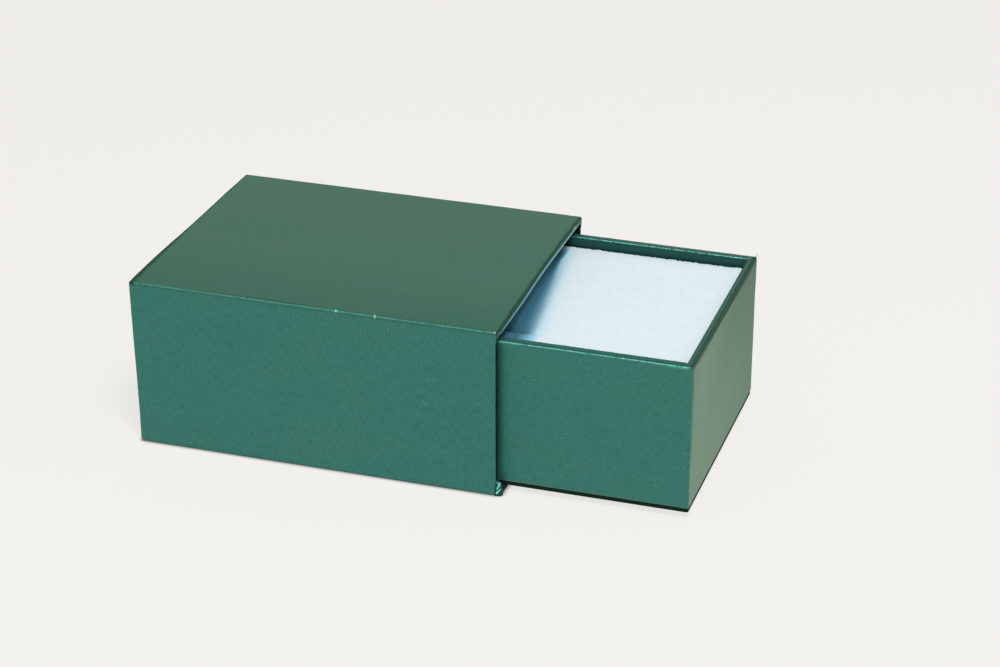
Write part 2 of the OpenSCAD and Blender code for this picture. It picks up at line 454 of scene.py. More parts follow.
def build_roof_core():
    """The roof's board and the two strips of tape beside it, which bow with the roof."""
    end = SLEEVE_END - PAPER
    y_out = FRONT - PAPER
    z_out = TOP - PAPER
    z_in = z_out - SLEEVE_BOARD
    y_in = y_out - SLEEVE_BOARD
    step = FRONT - TAPE_LEG
    cut, mitre, bevel = 0.45, 0.25, 0.13
    right = [(y_in, z_in), (y_out - mitre, z_out - mitre), (y_out - cut, z_out - TAPE),
             (step, z_out - TAPE), (step, z_out)]
    section = right + [(-y, z) for y, z in right[::-1]]
    pieces = [bar("sleeve_roof_board", section, -end, end, "sleeve_top_board")]
    foot = TOP - TAPE_LEG
    half = [(step, z_out - TAPE), (y_out - cut, z_out - TAPE), (y_out - TAPE, z_out - cut),
            (y_out - TAPE, foot), (y_out, foot), (y_out, z_out - cut),
            (y_out - bevel, z_out - bevel), (y_out - cut, z_out), (step, z_out)]
    for name, side, node in (("sleeve_roof_tape_back", 1, "sleeve_edge_tape_1"),
                             ("sleeve_roof_tape_front", -1, "sleeve_edge_tape_2")):
        tape_section = [(side * y, z) for y, z in half][::side]
        pieces.append(bar(name, tape_section, -end, end, node))
    return pieces


# ---------------------------------------------------------------- tray

RIM_TURN_IN = 18.0
BASE_TURN_IN = 10.0
BASE_RADIUS = 0.4
RIM_RADIUS = 0.38
END_BOW = 0.3
RIM_LIFT = 0.25
tray_crinkle = Ripples(21, 1.7)
tray_fine = Ripples(22, 0.75)
tray_wave = Ripples(23, 24)
tray_small = Ripples(24, 7)


def tray_frame(along, ring):
    return np.stack([ring[:, 1] + TRAY_MID[0], -ring[:, 0], along], axis=1)


def tray_move(points, out, edge, inset):
    """The tray's skin: its pull end bows out, its front rim is higher inside, its folds are uneven."""
    x, y, z = np.moveaxis(points, -1, 0)
    foot, top = TRAY_LOW[2], TRAY_HIGH[2]
    shift = np.zeros_like(points)
    skin = 1 - smooth(inset, 0.3, TRAY_WALL - 0.3)
    across = 1 - np.clip(np.abs(y) / TRAY_HALF[0], 0, 1) ** 3
    on_end = smooth(x, TRAY_HIGH[0] - 1.5, TRAY_HIGH[0] - 0.5)
    shift[..., 0] += END_BOW * across * smooth((z - foot) / (top - foot), 0, 0.55) * on_end * skin
    wall = TRAY_HALF[0] - TRAY_WALL
    front_rim = smooth(-y, wall - 0.6, wall - 0.1) * smooth(z, top - 3, top - 0.4)
    front_rim *= np.abs(x - TRAY_MID[0]) < TRAY_HALF[1] - TRAY_WALL
    shift[..., 2] += RIM_LIFT * front_rim * smooth(inset, 0.3, 1.2)
    above_foot = z > foot + 0.3
    bulge = np.clip(0.05 + 0.04 * tray_wave(points), 0, 0.14) * (1 - edge)
    crinkle = (0.009 * tray_crinkle(points) + 0.005 * tray_fine(points)) * edge
    ripple = 0.007 * tray_small(points)
    return shift + out * (above_foot * (skin * (bulge + ripple) + crinkle))[..., None]


def tray_shade(inset):
    """Painted shade: how dark the paper is painted, a little on the rim, and fully inside."""
    return 0.4 * smooth(inset, 0.3, 0.6) + 0.6 * smooth(inset, 1.45, 1.75)


def build_tray_papers():
    """The tray's wrap, turned in under the base and over the rim."""
    low, high = TRAY_LOW[2], TRAY_HIGH[2]
    length = stretches(TRAY_HALF, CORNER_RADIUS)[1][-1]
    line = folded(
        [(low, BASE_TURN_IN), (low, 0), (high, 0), (high, TRAY_WALL), (high - RIM_TURN_IN, TRAY_WALL)],
        (BASE_RADIUS, RIM_RADIUS, RIM_RADIUS), PAPER_STEP)
    s = stations(TRAY_HALF, CORNER_RADIUS, 0, length - 0.4, PAPER_STEP)
    wrap = shell("tray_paper_wrap", "tray", TRAY_HALF, CORNER_RADIUS, s, True,
                 line, tray_frame, tray_move, tray_shade)
    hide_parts("tray_wrap")
    return wrap


# ---------------------------------------------------------------- loose bits of paper

BUNCH_HEIGHT = 3.5
BUNCH_REACH = 1.5
bunch_pleats = Ripples(41, 1.1)
bunch_creases = Ripples(42, 0.45)


def loose_sheet(name, seen, back, body):
    """A small piece of paper from two grids of points, joined along their borders."""
    rows, cols = seen.shape[:2]
    number = np.arange(rows * cols).reshape(rows, cols)
    other = number + rows * cols
    faces = []
    for i in range(rows - 1):
        for c in range(cols - 1):
            faces.append((number[i, c], number[i, c + 1], number[i + 1, c + 1], number[i + 1, c]))
            faces.append((other[i, c], other[i + 1, c], other[i + 1, c + 1], other[i, c + 1]))
    border = np.concatenate([number[0, :-1], number[:-1, -1], number[-1, :0:-1], number[:0:-1, 0]])
    for a, b in zip(border, np.roll(border, -1)):
        faces.append((b, a, a + rows * cols, b + rows * cols))
    points = np.concatenate([seen.reshape(-1, 3), back.reshape(-1, 3)])
    return make_object(name, points, faces, body, smooth_angle=25)


def build_bunched_corner():
    """Paper bunched up at the open end, where the sleeve's front wall meets its underside."""
    turn, up = np.meshgrid(np.radians(np.linspace(-90, 90, 34)), np.linspace(0, 1, 40), indexing="ij")
    taper = np.clip(1 - up ** 8, 0, 1) ** 0.6
    lean = 0.88 + 0.12 * np.cos(4.0 * up)
    x = SLEEVE_END - 0.15 + BUNCH_REACH * np.cos(turn) * taper * lean
    y = -SLEEVE_HALF[0] + 0.9 + 0.93 * np.sin(turn) * (0.35 + 0.65 * taper)
    z = SLEEVE_LOW[2] + 0.04 + BUNCH_HEIGHT * up
    seen = np.stack([x, y, z], axis=-1)
    stretched = seen * np.array([1, 1, 0.45])
    crumple = 0.11 * bunch_pleats(stretched) + 0.06 * bunch_creases(stretched)
    crumple = np.clip(crumple, -0.2, 0.16) * np.cos(turn) ** 0.5 * (1 - up ** 6)
    way = np.stack([np.cos(turn), np.sin(turn), np.zeros_like(turn)], axis=-1)
    seen = seen + way * crumple[..., None]
    bunch = loose_sheet("sleeve_bunched_corner", seen, seen - way * PAPER, "sleeve")
    return bunch


def build_burr():
    """A torn point of paper at the rim's back corner on the pull end."""
    along, across = np.meshgrid(np.linspace(0, 1, 14), np.linspace(-1, 1, 6), indexing="ij")
    width = 0.26 * (1 - along) ** 0.8 + 0.02
    x = TRAY_HIGH[0] - 0.28 + 0.55 * along + 0.1 * across * width
    y = TRAY_HALF[0] - 0.35 + across * width + 0.15 * along
    z = TRAY_HIGH[2] - 0.12 + 0.75 * along ** 1.3
    seen = np.stack([x, y, z], axis=-1)
    back = seen - np.array([0.09, 0.02, -0.03])
    burr = loose_sheet("tray_rim_burr", seen, back, "tray")
    return burr


# ---------------------------------------------------------------- materials

class Nodes:
    """A short way to write a Principled material's nodes. Lengths are in millimetres."""

    def __init__(self, name, **values):
        self.material = bpy.data.materials.new(name)
        self.material.use_nodes = True
        self.tree = self.material.node_tree
        self.shader = self.tree.nodes["Principled BSDF"]
        for key, value in values.items():
            socket = key.replace("_", " ").title().replace("Ior", "IOR")
            self.shader.inputs[socket].default_value = value

    def add(self, kind, inputs=None, **settings):
        node = self.tree.nodes.new(kind)
        for key, value in settings.items():
            setattr(node, key, value)
        for key, value in (inputs or {}).items():
            self.put(node, key, value)
        return node

    def put(self, node, key, value):
        if isinstance(value, bpy.types.NodeSocket):
            self.tree.links.new(value, node.inputs[key])
        else:
            node.inputs[key].default_value = value

    def solid(self):
        """Places in the piece, in millimetres."""
        source = self.add("ShaderNodeTexCoord").outputs["Object"]
        return self.scaled(source, (1 / MM, 1 / MM, 1 / MM))

    def scaled(self, source, scale):
        return self.add("ShaderNodeMapping", {"Vector": source, "Scale": scale}).outputs[0]

    def attribute(self, name):
        return self.add("ShaderNodeAttribute", attribute_name=name).outputs["Fac"]

    def noise(self, vector, scale=1.0, detail=2.0, roughness=0.5):
        inputs = {"Vector": vector, "Scale": scale, "Detail": detail, "Roughness": roughness}
        return self.add("ShaderNodeTexNoise", inputs).outputs[0]

    def range(self, value, low, high, to_low=0.0, to_high=1.0):
        inputs = {"Value": value, "From Min": low, "From Max": high,
                  "To Min": to_low, "To Max": to_high}
        return self.add("ShaderNodeMapRange", inputs).outputs[0]

    def band(self, value, start, full, until, end):
        """1 from full to until, falling to 0 at start and at end."""
        return self.times(self.range(value, start, full), self.range(value, end, until))

    def math(self, operation, *values):
        return self.add("ShaderNodeMath", dict(enumerate(values)), operation=operation).outputs[0]

    def vector(self, operation, *values):
        inputs = dict(enumerate(values))
        return self.add("ShaderNodeVectorMath", inputs, operation=operation).outputs

    def times(self, first, *others):
        for other in others:
            first = self.math("MULTIPLY", first, other)
        return first

    def plus(self, a, b):
        return self.math("ADD", a, b)

    def minus(self, a, b):
        return self.math("SUBTRACT", a, b)

    def size(self, value):
        return self.math("ABSOLUTE", value)

    def mix(self, factor, a, b):
        """A colour between a and b, each a link or three numbers."""
        node = self.add("ShaderNodeMix", {0: factor}, data_type="RGBA")
        for place, color in ((6, a), (7, b)):
            linked = isinstance(color, bpy.types.NodeSocket)
            self.put(node, place, color if linked else (*color, 1))
        return node.outputs[2]

    def mottled(self, noise, a, b):
        """Two colours in patches, as a noise goes below and above its middle."""
        return self.mix(self.range(noise, 0.3, 0.7), a, b)

    def bump(self, height, distance, strength=1.0, normal=None):
        inputs = {"Height": height, "Distance": distance * MM, "Strength": strength}
        if normal is not None:
            inputs["Normal"] = normal
        return self.add("ShaderNodeBump", inputs).outputs[0]

    def axes(self, vector):
        return self.add("ShaderNodeSeparateXYZ", {"Vector": vector}).outputs

    def spot(self, solid, centre, radius, squeeze=(1, 1, 1)):
        """1 near a place, with a ragged edge; squeeze narrows an axis."""
        offset = self.vector("SUBTRACT", solid, centre)[0]
        offset = self.vector("MULTIPLY", offset, squeeze)[0]
        away = self.vector("LENGTH", offset)[1]
        away = self.plus(away, self.times(self.noise(solid, 2.2, 2.0), radius))
        return self.range(away, radius * 1.5, radius * 1.1)

    def finish(self, color, roughness=None, normal=None, tint=None):
        for key, value in (("Base Color", color), ("Roughness", roughness), ("Normal", normal),
                           ("Specular Tint", tint)):
            if value is not None:
                self.put(self.shader, key, value)
        return self.material


PEARL_TINT = (1.0, 0.93, 0.6)
SHADE_TINT = (0.35, 0.42, 0.28)


def pearl_paper(name, two_way, beading, bead_from):
    """Green pearl paper with a fine laid grain; two_way adds cross lines.

    Folds along the slide get a painted highlight in beads: a lower beading gives more of them
    and a lower bead_from wider ones. Folds across the slide and a band beside the other folds
    get painted shade and a dimmer gloss, and the paper folded in is painted darker. Returns the
    nodes, the places, the colour, the roughness, the normal and the tint, for the marks of one
    piece to be added.
    """
    n = Nodes(name, metallic=0.6, specular_tint=(*PEARL_TINT, 1), sheen_weight=0.06,
              sheen_roughness=0.5, sheen_tint=(1.0, 0.86, 0.7, 1))
    solid = n.solid()
    sheet = n.add("ShaderNodeUVMap", uv_map="paper").outputs[0]
    edge = n.attribute("edge")
    inside = n.attribute("inside")
    lines = n.noise(n.scaled(sheet, (2.7, 0.7, 1)), 1.0, 1.5, 0.6)
    cross = n.noise(n.scaled(sheet, (0.7, 2.7, 1)), 1.0, 1.5, 0.6)
    share = 0.5 if two_way else 0.68
    grain = n.plus(n.times(lines, share), n.times(cross, 1 - share))
    mottle = n.noise(solid, 0.55, 3.0, 0.6)
    cloud = n.noise(n.scaled(solid, (0.6, 1.3, 1.0)), 0.075, 3.0, 0.55)
    fibre = n.noise(solid, 3.2, 1.0, 0.5)
    color = n.mottled(mottle, (0.029, 0.172, 0.147), (0.026, 0.196, 0.17))
    color = n.mix(n.range(cloud, 0.35, 0.65, 0.0, 0.6), color, (0.038, 0.188, 0.148))
    color = n.mix(n.range(grain, 0.36, 0.6, 0.46, 0.0), color, (0.013, 0.105, 0.09))
    speck = n.range(n.noise(solid, 2.3, 0.0), 0.86, 0.9, 0.0, 0.8)
    color = n.mix(speck, color, (0.2, 0.5, 0.42))

    nx, ny, nz = n.axes(n.add("ShaderNodeNewGeometry").outputs["Normal"])
    side = n.size(ny)
    along_fold = n.times(n.range(side, bead_from, bead_from + 0.16), n.range(nz, 0.2, 0.4))
    above_fold = n.times(n.band(side, 0.08, 0.25, 0.55, 0.68), nz)
    across_fold = n.range(n.times(n.size(nx), nz), 0.05, 0.22)
    beads = n.noise(n.scaled(solid, (1.0, 2.5, 2.5)), 0.9, 3.0, 0.75)
    # painted highlight: beads of light on folds along the slide, where they turn from the side faces to
    # the top
    bright = n.times(along_fold, edge, n.range(beads, beading, beading + 0.16))
    # painted shade: folds across the slide and a band beside the other folds are painted dark, and their
    # gloss tinted dimmer
    fold_shade = n.times(across_fold, edge)
    shadow = n.times(above_fold, edge, 0.7)
    color = n.mix(n.times(fold_shade, 0.85), color, (0.006, 0.05, 0.034))
    color = n.mix(shadow, color, (0.006, 0.06, 0.045))
    tint = n.mix(n.math("MAXIMUM", fold_shade, shadow), PEARL_TINT, SHADE_TINT)
    # painted shade on the paper folded in at the ends and inside
    color = n.mix(n.times(inside, 0.75), color, (0.004, 0.045, 0.042))
    color = n.mix(bright, color, (0.16, 0.62, 0.54))
    rough = n.range(mottle, 0.3, 0.7, 0.443, 0.417)
    rough = n.minus(rough, n.times(bright, 0.14))
    normal = n.bump(n.plus(grain, n.times(fibre, 0.25)), 0.04, 0.5)
    crease = n.noise(solid, 1.3, 3.0, 0.7)
    normal = n.bump(n.times(crease, edge), 0.12, 1.0, normal)
    return n, solid, color, rough, normal, tint


def flaked(n, solid, color):
    """The same colour with one flake out of the coating, on the roof's open end."""
    place = (SLEEVE_END + 0.15, SLEEVE_HALF[0] - 6.6, SLEEVE_HIGH[2] - 0.45)
    flake = n.spot(solid, place, 1.1, squeeze=(3.0, 0.75, 2.0))
    return n.mix(n.times(flake, 0.8), color, (0.27, 0.3, 0.2))


def sleeve_paper():
    """The sleeve's outside: a roof painted greyer as a painted haze of reflection, darker toward
    its front edge, painted shade on its rounded ends, and a few places of wear.
    """
    n, solid, color, rough, normal, tint = pearl_paper("sleeve_pearl_paper", False, 0.34, 0.42)
    top = SLEEVE_HIGH[2]
    front = -SLEEVE_HALF[0]
    x, y, z = n.axes(solid)
    # painted haze of reflection: the roof is painted greyer
    on_top = n.range(z, top - 1.0, top - 0.4)
    color = n.mix(n.times(on_top, 0.4), color, (0.045, 0.15, 0.095))
    # painted: the roof darker toward its front edge, where less haze is reflected
    forward = n.times(n.range(y, -8, front), on_top, 0.42)
    color = n.mix(forward, color, (0.012, 0.115, 0.085))
    wander = n.noise(n.scaled(solid, (0.3, 0.3, 0.3)), 1.0, 2.0)
    puff = n.times(n.range(y, 6, -18, END_PUFF[0], sum(END_PUFF)), n.range(x, 0, 1))
    from_middle = n.minus(n.plus(n.size(x), n.times(wander, 0.7)), puff)
    # painted shade on the roof's rounded ends, with a dimmer gloss
    rounding = n.times(n.range(from_middle, SLEEVE_END - 0.5, SLEEVE_END + 0.12), on_top)
    color = n.mix(n.times(rounding, 0.85), color, (0.008, 0.06, 0.04))
    tint = n.mix(rounding, tint, SHADE_TINT)

    even = (1, 1, 1)
    worn_places = (
        ((-SLEEVE_END, front, SLEEVE_LOW[2]), 1.1, even, (0.27, 0.2, 0.12)),
        ((SLEEVE_END - 0.3, front + 0.2, top), 0.28, even, (0.62, 0.38, 0.25)),
        ((15.0, front + 0.1, top), 0.62, (2.6, 1, 1), (0.36, 0.5, 0.4)),
        ((6.0, front + 0.1, top - 0.1), 0.4, even, (0.2, 0.66, 0.58)),
    )
    for place, radius, squeeze, wear_and_reflection in worn_places:
        color = n.mix(n.spot(solid, place, radius, squeeze), color, wear_and_reflection)
    return n.finish(flaked(n, solid, color), rough, normal, tint)


def roof_end_paper():
    """The paper over the roof's ends, with little gloss: a greyer teal, painted shade near its
    upper edge, and a painted reflection of the pale pad along its lower fold.
    """
    n = Nodes("roof_end_paper", specular_ior_level=0.15, roughness=0.6)
    solid = n.solid()
    inset = n.attribute("inset")
    mottle = n.noise(solid, 0.5, 3.0, 0.6)
    x, y, _ = n.axes(solid)
    color = n.mottled(mottle, (0.052, 0.13, 0.122), (0.07, 0.165, 0.16))
    # painted shade near the upper edge of the roof's end
    fold = n.plus(inset, n.range(y, -5, -30, 0.0, -0.25))
    color = n.mix(n.range(fold, 0.5, 0.3), color, (0.01, 0.05, 0.034))
    # painted reflection of the pale pad: a blue line along the lower fold, broken by the mottle
    wear_and_reflection = n.times(n.band(inset, 0.8, 0.95, 1.4, 1.5), n.band(y, -31.5, -25, 27, 31),
                   n.range(x, 0, 1, 0.15, 1.0), n.range(mottle, 0.2, 0.5, 0.5, 1.0))
    color = n.mix(wear_and_reflection, color, (0.3, 0.62, 0.7))
    return n.finish(flaked(n, solid, color), None, n.bump(mottle, 0.03, 0.5))


def shaded_folded_in_paper():
    """The same paper where it is folded in, painted dark as paper in shade, with no gloss to catch
    the bright floor.
    """
    n = Nodes("shaded_folded_in_paper", specular_ior_level=0.05, roughness=0.8)
    solid = n.solid()
    mottle = n.noise(solid, 0.5, 3.0, 0.6)
    grain = n.noise(n.scaled(solid, (2.2, 0.6, 0.6)), 1.0, 2.0)
    color = n.mottled(mottle, (0.0035, 0.019, 0.013), (0.005, 0.028, 0.02))
    color = n.mix(n.range(grain, 0.4, 0.65, 0.5, 0.0), color, (0.0015, 0.01, 0.007))
    return n.finish(color, None, n.bump(grain, 0.04, 0.5))


# painted highlights on ridges of the crumple: middle (from the sleeve's end and foot), slope in
# degrees, half length and half width
BRIGHT_RIDGES = ((0.62, 2.4, 66, 0.8, 0.27), (0.62, 1.2, 42, 0.55, 0.2), (0.35, 0.75, 20, 0.3, 0.2))


def crumpled_paper():
    """Crumpled pearl paper, dark, and darker in patches along its creases, with painted highlights
    on a few ridges and a pale painted highlight at its tip.
    """
    n = Nodes("crumpled_pearl_paper", metallic=0.7)
    solid = n.solid()
    crease = n.noise(n.scaled(solid, (1.0, 1.0, 0.45)), 1.1, 3.0, 0.65)
    color = n.mix(n.range(crease, 0.38, 0.6), (0.002, 0.014, 0.011), (0.012, 0.09, 0.075))
    foot = SLEEVE_LOW[2]
    x, _, z = n.axes(solid)
    # painted highlights along a few ridges
    ridge = 0.0
    for middle_x, middle_z, slope, half_length, half_width in BRIGHT_RIDGES:
        from_x = n.minus(x, SLEEVE_END + middle_x)
        from_z = n.minus(z, foot + middle_z)
        cos, sin = math.cos(math.radians(slope)), math.sin(math.radians(slope))
        along = n.size(n.plus(n.times(from_x, cos), n.times(from_z, sin)))
        across = n.size(n.minus(n.times(from_z, cos), n.times(from_x, sin)))
        across = n.plus(across, n.range(crease, 0.35, 0.65, -0.13, 0.15))
        streak = n.times(n.range(across, half_width, half_width * 0.5),
                         n.range(along, half_length, half_length * 0.75))
        ridge = n.math("MAXIMUM", streak, ridge)
    color = n.mix(n.times(ridge, 0.95), color, (0.2, 0.85, 0.77))
    # painted highlight, pale lavender, at the tip
    tip = n.spot(solid, (SLEEVE_END + 0.8, -SLEEVE_HALF[0] + 0.3, foot + 3.15), 0.42)
    color = n.mix(n.times(tip, 0.85), color, (0.5, 0.52, 0.68))
    return n.finish(color, n.range(crease, 0.4, 0.6, 0.5, 0.34), n.bump(crease, 0.2, 1.0))


def tray_paper():
    """The tray's outside: a line of wear at its foot with painted shade under it, painted shade on
    the pull end's rim, and a pull end darker, with a dimmer gloss, toward its back and top.
    """
    n, solid, color, rough, normal, tint = pearl_paper("tray_pearl_paper", True, 0.36, 0.6)
    x, y, z = n.axes(solid)
    foot, top, pull_end = TRAY_LOW[2], TRAY_HIGH[2], TRAY_HIGH[0]
    line = n.band(z, foot + 0.3, foot + 0.36, foot + 0.44, foot + 0.5)
    wear_and_reflection = n.range(n.noise(n.scaled(solid, (0.5, 0.5, 0.5)), 1.0, 3.0), 0.35, 0.55, 0.15, 0.7)
    color = n.mix(n.times(line, wear_and_reflection), color, (0.2, 0.2, 0.14))
    # painted shade: near black in the gap along the wall's lower fold
    under = n.range(z, foot + 0.38, foot + 0.3)
    color = n.mix(n.times(under, 0.97), color, (0.001, 0.006, 0.005))
    # painted shade on the outer rounding of the pull end's rim, with a dimmer gloss
    rim = n.times(n.range(z, top - 0.55, top - 0.3), n.range(x, pull_end - 0.95, pull_end - 0.6))
    color = n.mix(n.times(rim, 0.8), color, (0.008, 0.062, 0.045))
    corner = n.spot(solid, (pull_end - 1.5, TRAY_HALF[0] - 1.3, top), 0.4)
    color = n.mix(n.times(corner, 0.6), color, (0.3, 0.27, 0.24))

    # the pull end darker, with a dimmer gloss, toward its back and top
    on_end = n.range(x, pull_end - 0.5, pull_end - 0.1)
    far = n.times(n.range(y, -22, 30), n.range(z, 0, 36, 0.3, 1.0), on_end)
    color = n.mix(n.times(far, 0.6), color, (0.02, 0.08, 0.06))
    tint = n.mix(n.times(rim, 0.9), tint, SHADE_TINT)
    tint = n.mix(far, n.mix(on_end, tint, (1.0, 0.99, 0.66)), (0.34, 0.45, 0.3))
    return n.finish(color, rough, normal, tint)


def plain_paper():
    n = Nodes("plain_green_paper")
    solid = n.solid()
    mottle = n.noise(solid, 0.4, 3.0, 0.6)
    fibre = n.noise(n.scaled(solid, (0.6, 2.4, 2.4)), 1.5, 2.0)
    color = n.mottled(mottle, (0.012, 0.068, 0.055), (0.016, 0.09, 0.072))
    color = n.mix(n.range(fibre, 0.55, 0.75, 0.0, 0.4), color, (0.03, 0.13, 0.105))
    return n.finish(color, n.range(fibre, 0.3, 0.7, 0.72, 0.6), n.bump(fibre, 0.04, 0.7))


def greyboard():
    n = Nodes("greyboard")
    solid = n.solid()
    pulp = n.noise(solid, 0.9, 4.0, 0.65)
    fibre = n.noise(n.scaled(solid, (0.5, 2.6, 2.6)), 1.6, 2.0)
    layers = n.noise(n.scaled(solid, (0.15, 0.15, 5.0)), 1.0, 1.0)
    color = n.mottled(pulp, (0.24, 0.225, 0.195), (0.37, 0.345, 0.30))
    color = n.mix(n.range(fibre, 0.6, 0.75, 0.0, 0.6), color, (0.16, 0.14, 0.115))
    color = n.mix(n.range(layers, 0.35, 0.65, 0.0, 0.25), color, (0.45, 0.42, 0.37))
    height = n.plus(pulp, n.times(fibre, 0.5))
    return n.finish(color, n.range(pulp, 0.3, 0.7, 0.95, 0.85), n.bump(height, 0.06, 0.8))


def kraft_tape():
    n = Nodes("kraft_tape")
    solid = n.solid()
    fibre = n.noise(n.scaled(solid, (0.35, 2.2, 2.2)), 1.4, 3.0)
    patch = n.noise(solid, 0.25, 2.0)
    color = n.mix(n.range(fibre, 0.35, 0.65), (0.30, 0.19, 0.10), (0.44, 0.30, 0.17))
    color = n.mix(n.range(patch, 0.35, 0.7, 0.0, 0.35), color, (0.5, 0.36, 0.22))
    return n.finish(color, n.range(fibre, 0.3, 0.7, 0.62, 0.5), n.bump(fibre, 0.03, 0.7))


def white_card():
    n = Nodes("white_card")
    solid = n.solid()
    fibre = n.noise(n.scaled(solid, (0.7, 2.0, 2.0)), 1.3, 3.0)
    patch = n.noise(solid, 0.12, 2.0)
    color = n.mottled(patch, (0.72, 0.70, 0.65), (0.80, 0.785, 0.74))
    color = n.mix(n.range(fibre, 0.6, 0.8, 0.0, 0.5), color, (0.62, 0.58, 0.51))
    return n.finish(color, n.range(fibre, 0.3, 0.7, 0.7, 0.58), n.bump(fibre, 0.03, 0.6))


def foam():
    n = Nodes("white_foam", subsurface_weight=0.15)
    solid = n.solid()
    cells = n.add("ShaderNodeTexVoronoi", {"Vector": solid, "Scale": 1.9}).outputs["Distance"]
    fine = n.noise(solid, 2.6, 3.0)
    color = n.mix(n.range(cells, 0.05, 0.6), (0.55, 0.57, 0.58), (0.82, 0.84, 0.84))
    color = n.mix(n.range(fine, 0.45, 0.75, 0.0, 0.4), color, (0.9, 0.9, 0.88))
    return n.finish(color, n.range(fine, 0.3, 0.7, 0.9, 0.8), n.bump(cells, 0.2, 0.8))


def flock():
    """Short pale blue nap, brushed a little unevenly, with painted shade: blue beside the dent, deep
    blue in it and on the strip before it, darkest near the slit.
    """
    n = Nodes("pale_blue_flock", sheen_weight=0.12, sheen_roughness=0.5, sheen_tint=(0.8, 0.92, 1.0, 1))
    solid = n.solid()
    nap = n.noise(solid, 2.3, 3.0, 0.75)
    patch = n.noise(solid, 0.5, 4.0, 0.7)
    cloud = n.noise(solid, 0.07, 2.0)
    color = n.mottled(nap, (0.50, 0.595, 0.65), (0.60, 0.68, 0.72))
    color = n.mix(n.range(patch, 0.35, 0.7, 0.0, 0.45), color, (0.63, 0.7, 0.735))
    color = n.mix(n.range(cloud, 0.35, 0.65, 0.0, 0.3), color, (0.54, 0.64, 0.685))
    # painted shade: bluer beside the dent's rim
    color = n.mix(n.times(n.attribute("lip"), 0.8), color, (0.33, 0.58, 0.70))
    # painted shade: bluer and darker in and beside the dent and on the strip before it
    dent = n.plus(n.attribute("dent"), n.range(nap, 0.0, 1.0, -0.05, 0.05))
    for low, high, blue in ((0.03, 0.3, (0.28, 0.55, 0.69)), (0.2, 0.6, (0.14, 0.36, 0.49)),
                            (0.4, 1.0, (0.014, 0.125, 0.205))):
        color = n.mix(n.range(dent, low, high), color, blue)
    # painted shade: darkest navy deep in the dent near the slit and on the strip
    color = n.mix(n.attribute("deep"), color, (0.004, 0.05, 0.08))
    return n.finish(color, n.range(patch, 0.3, 0.7, 0.95, 0.85), n.bump(nap, 0.14, 0.7))


# ---------------------------------------------------------------- pad

SLIT_Y = COVER_LOW[1] + 7.1
DENT_X = TRAY_MID[0] - 2.5
DENT_DEPTH = 4.0
DENT_HALF_WIDTH = 6.5
DENT_LENGTH = 46.0
LIP_ROUNDING = 1.5
COVER_THICKNESS = 0.35
# radius of the cover's upper edge, and how far inside the solid it starts before it is puffed
PAD_EDGE = 0.4
PAD_START = 0.12
# grid of the cover's face, and the rows close to the slit
PAD_ROWS = (80, 56)
SLIT_ROWS = (-0.4, -0.16, 0.0, 0.16, 0.45)
# where the nap is painted dark as painted shade, in and beside the dent and on the strip before it,
# with painted light lifting it on the valley's left half
LIP_LEAST = 0.9
LIP_REACH = 3.6
SHADE_RAMP = (5.2, 0.6)
SHADE_START = 0.4
VALLEY_LIGHT = 0.26
STRIP_REACH = 8.5
STRIP_RAMP = 5.6
STRIP_SHADE = 0.97
STRIP_DEEP = 0.35
# the cloth is simulated at a hundred times its size
SIM_SCALE = 100.0
SIM_FRAMES = 20
PUFF_LIMIT = 0.3
SKIRT_PUFF_LIMIT = 0.12
CLOTH = {
    "quality": 6,
    "mass": 0.3,
    "tension_stiffness": 15,
    "compression_stiffness": 15,
    "shear_stiffness": 8,
    "bending_stiffness": 2,
    "use_pressure": True,
    "uniform_pressure_force": 4,
    "vertex_group_mass": "held",
}
pad_nap = Ripples(32, 0.85, 40)
pad_tuft = Ripples(33, 2.2, 40)


def dent_drop(x, y):
    """Depth of the pressed place below the pad's face: a cone that lies along the tray."""
    rise = (DENT_HALF_WIDTH ** 2 - DENT_DEPTH ** 2) / (2 * DENT_DEPTH)
    radius = DENT_DEPTH + rise
    run = DENT_LENGTH * radius / DENT_DEPTH
    here = radius * np.clip(1 - (y - SLIT_Y) / run, 0, 1)
    chord = np.sqrt(np.clip(here ** 2 - (x - DENT_X) ** 2, 0, None))
    drop = np.clip(chord - rise, 0, None)
    lip = np.sqrt(np.clip(here ** 2 - rise ** 2, 0, None))
    rounding = 1 - np.exp(-np.clip(lip - np.abs(x - DENT_X), 0, None) / LIP_ROUNDING)
    return drop * rounding * smooth(y, SLIT_Y - 0.12, SLIT_Y + 0.12)


def dent_zone(x, y):
    """Share of the dent's length run, half its width there, way from its axis, and 1 beside it."""
    along = np.clip((y - SLIT_Y) / DENT_LENGTH, 0, 1)
    half_width = np.maximum(DENT_HALF_WIDTH * (1 - along), LIP_LEAST)
    tip = SLIT_Y + DENT_LENGTH
    return along, half_width, x - DENT_X, (y > SLIT_Y) * (1 - smooth(y, tip - 4, tip + 3))


def dent_shade(x, y):
    """Painted shade on the nap: across the dent, and a little on the strip before it."""
    along, half_width, from_axis, beside = dent_zone(x, y)
    from_lip = half_width - np.where(from_axis > 0, from_axis, -0.5 * from_axis)
    ramp = SHADE_RAMP[0] + (SHADE_RAMP[1] - SHADE_RAMP[0]) * along
    # painted light: less painted shade on the valley's left half, under the roof's shadow
    lit = VALLEY_LIGHT * smooth(y, SLIT_Y + 5, SLIT_Y + 13) * smooth(-from_axis, -0.3, 1.0)
    dent_painted_shade = np.clip((from_lip + SHADE_START) / ramp, 0, 1 - lit) * beside
    strip = np.clip((STRIP_REACH - np.abs(from_axis)) / STRIP_RAMP, 0, STRIP_SHADE) * (y <= SLIT_Y)
    return dent_painted_shade + strip


def lip_shade(x, y):
    """Painted shade beside the dent: how blue the nap is painted along the dent's shaded rim."""
    _, half_width, from_axis, beside = dent_zone(x, y)
    from_lip = np.abs(from_axis) - half_width
    return smooth(LIP_REACH - from_lip, 0, LIP_REACH) * beside


